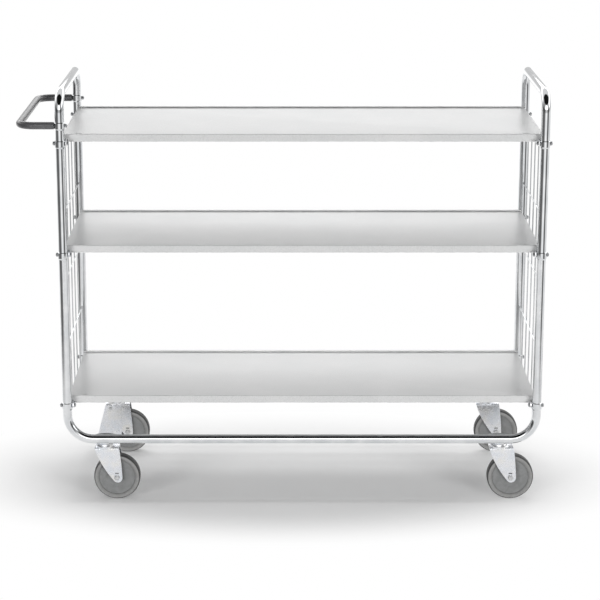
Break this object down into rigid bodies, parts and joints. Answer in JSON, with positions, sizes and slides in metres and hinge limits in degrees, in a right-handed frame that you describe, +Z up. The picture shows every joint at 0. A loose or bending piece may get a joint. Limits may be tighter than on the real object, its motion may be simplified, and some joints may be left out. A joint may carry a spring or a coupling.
{
  "type": "order picking trolley",
  "caption": "Chrome tube order picking trolley with sheet-metal shelves, wire end panels, a push handle, swivel castors and a foot brake.",
  "frame": {"origin": "on the floor under the middle of the whole trolley, push handle included", "axes": "+X along the shelves away from the push handle, +Y from the front to the back, +Z up"},
  "size_m": [1.3853, 0.4726, 1.1196],
  "materials": {
    "chrome_tube": "bright chrome plate on steel tube and wire",
    "shelf_coat": "light grey powder coat, satin",
    "handle_coat": "dark grey powder coat, satin",
    "zinc_plate": "bright zinc plate on pressed steel",
    "fastener_zinc": "zinc plate",
    "plain_steel": "dull plated steel",
    "wheel_centre": "moulded, matt",
    "tyre_rubber": "matt grey rubber"
  },
  "bodies": {
    "frame": {"front_base_tube": "chrome_tube", "rear_base_tube": "chrome_tube", "lower_post_front_left": "chrome_tube", "lower_post_front_right": "chrome_tube", "lower_post_rear_left": "chrome_tube", "lower_post_rear_right": "chrome_tube", "upper_post_front_left": "chrome_tube", "upper_post_front_right": "chrome_tube", "upper_post_rear_left": "chrome_tube", "upper_post_rear_right": "chrome_tube", "front_handle_riser": "chrome_tube", "rear_handle_riser": "chrome_tube", "left_hoop": "chrome_tube", "right_hoop": "chrome_tube", "push_handle": "handle_coat", "bottom_shelf": "shelf_coat", "middle_shelf": "shelf_coat", "top_shelf": "shelf_coat", "bottom_bearer_left": "zinc_plate", "bottom_bearer_right": "zinc_plate", "middle_bearer_left": "zinc_plate", "middle_bearer_right": "zinc_plate", "top_bearer_left": "zinc_plate", "top_bearer_right": "zinc_plate", "left_wire_panel": "chrome_tube", "right_wire_panel": "chrome_tube", "bottom_bolt_front_left": "fastener_zinc", "bottom_bolt_front_right": "fastener_zinc", "bottom_bolt_rear_left": "fastener_zinc", "bottom_bolt_rear_right": "fastener_zinc", "middle_bolt_front_left": "fastener_zinc", "middle_bolt_front_right": "fastener_zinc", "middle_bolt_rear_left": "fastener_zinc", "middle_bolt_rear_right": "fastener_zinc", "top_bolt_front_left": "fastener_zinc", "top_bolt_front_right": "fastener_zinc", "top_bolt_rear_left": "fastener_zinc", "top_bolt_rear_right": "fastener_zinc", "castor_head_front_left": "zinc_plate", "castor_head_front_right": "zinc_plate", "castor_head_rear_left": "zinc_plate", "castor_head_rear_right": "zinc_plate"},
    "castor_front_left": {"castor_fork_front_left": "zinc_plate", "wheel_axle_front_left": "plain_steel"},
    "castor_front_right": {"castor_fork_front_right": "zinc_plate", "wheel_axle_front_right": "plain_steel"},
    "castor_rear_left": {"castor_fork_rear_left": "zinc_plate", "wheel_axle_rear_left": "plain_steel", "brake_pin": "plain_steel"},
    "castor_rear_right": {"castor_fork_rear_right": "zinc_plate", "wheel_axle_rear_right": "plain_steel"},
    "wheel_front_left": {"wheel_core_front_left": "wheel_centre", "tyre_front_left": "tyre_rubber"},
    "wheel_front_right": {"wheel_core_front_right": "wheel_centre", "tyre_front_right": "tyre_rubber"},
    "wheel_rear_left": {"wheel_core_rear_left": "wheel_centre", "tyre_rear_left": "tyre_rubber"},
    "wheel_rear_right": {"wheel_core_rear_right": "wheel_centre", "tyre_rear_right": "tyre_rubber"},
    "brake": {"brake_yoke": "zinc_plate"}
  },
  "joints": [
    {"name": "swivel_front_left", "type": "hinge", "parent": "frame", "child": "castor_front_left", "pos_m": [-0.4813, -0.189, 0.152], "axis": [0, 0, 1], "continuous": true},
    {"name": "swivel_front_right", "type": "hinge", "parent": "frame", "child": "castor_front_right", "pos_m": [0.5797, -0.189, 0.152], "axis": [0, 0, 1], "continuous": true},
    {"name": "swivel_rear_left", "type": "hinge", "parent": "frame", "child": "castor_rear_left", "pos_m": [-0.4813, 0.189, 0.152], "axis": [0, 0, 1], "continuous": true},
    {"name": "swivel_rear_right", "type": "hinge", "parent": "frame", "child": "castor_rear_right", "pos_m": [0.5797, 0.189, 0.152], "axis": [0, 0, 1], "continuous": true},
    {"name": "wheel_spin_front_left", "type": "hinge", "parent": "castor_front_left", "child": "wheel_front_left", "pos_m": [-0.4493, -0.189, 0.0625], "axis": [0, 1, 0], "continuous": true},
    {"name": "wheel_spin_front_right", "type": "hinge", "parent": "castor_front_right", "child": "wheel_front_right", "pos_m": [0.6117, -0.189, 0.0625], "axis": [0, 1, 0], "continuous": true},
    {"name": "wheel_spin_rear_left", "type": "hinge", "parent": "castor_rear_left", "child": "wheel_rear_left", "pos_m": [-0.4493, 0.189, 0.0625], "axis": [0, 1, 0], "continuous": true},
    {"name": "wheel_spin_rear_right", "type": "hinge", "parent": "castor_rear_right", "child": "wheel_rear_right", "pos_m": [0.6117, 0.189, 0.0625], "axis": [0, 1, 0], "continuous": true},
    {"name": "brake_pedal", "type": "hinge", "parent": "castor_rear_left", "child": "brake", "pos_m": [-0.4973, 0.189, 0.134], "axis": [0, -1, 0], "range_deg": [0, 6]}
  ]
}
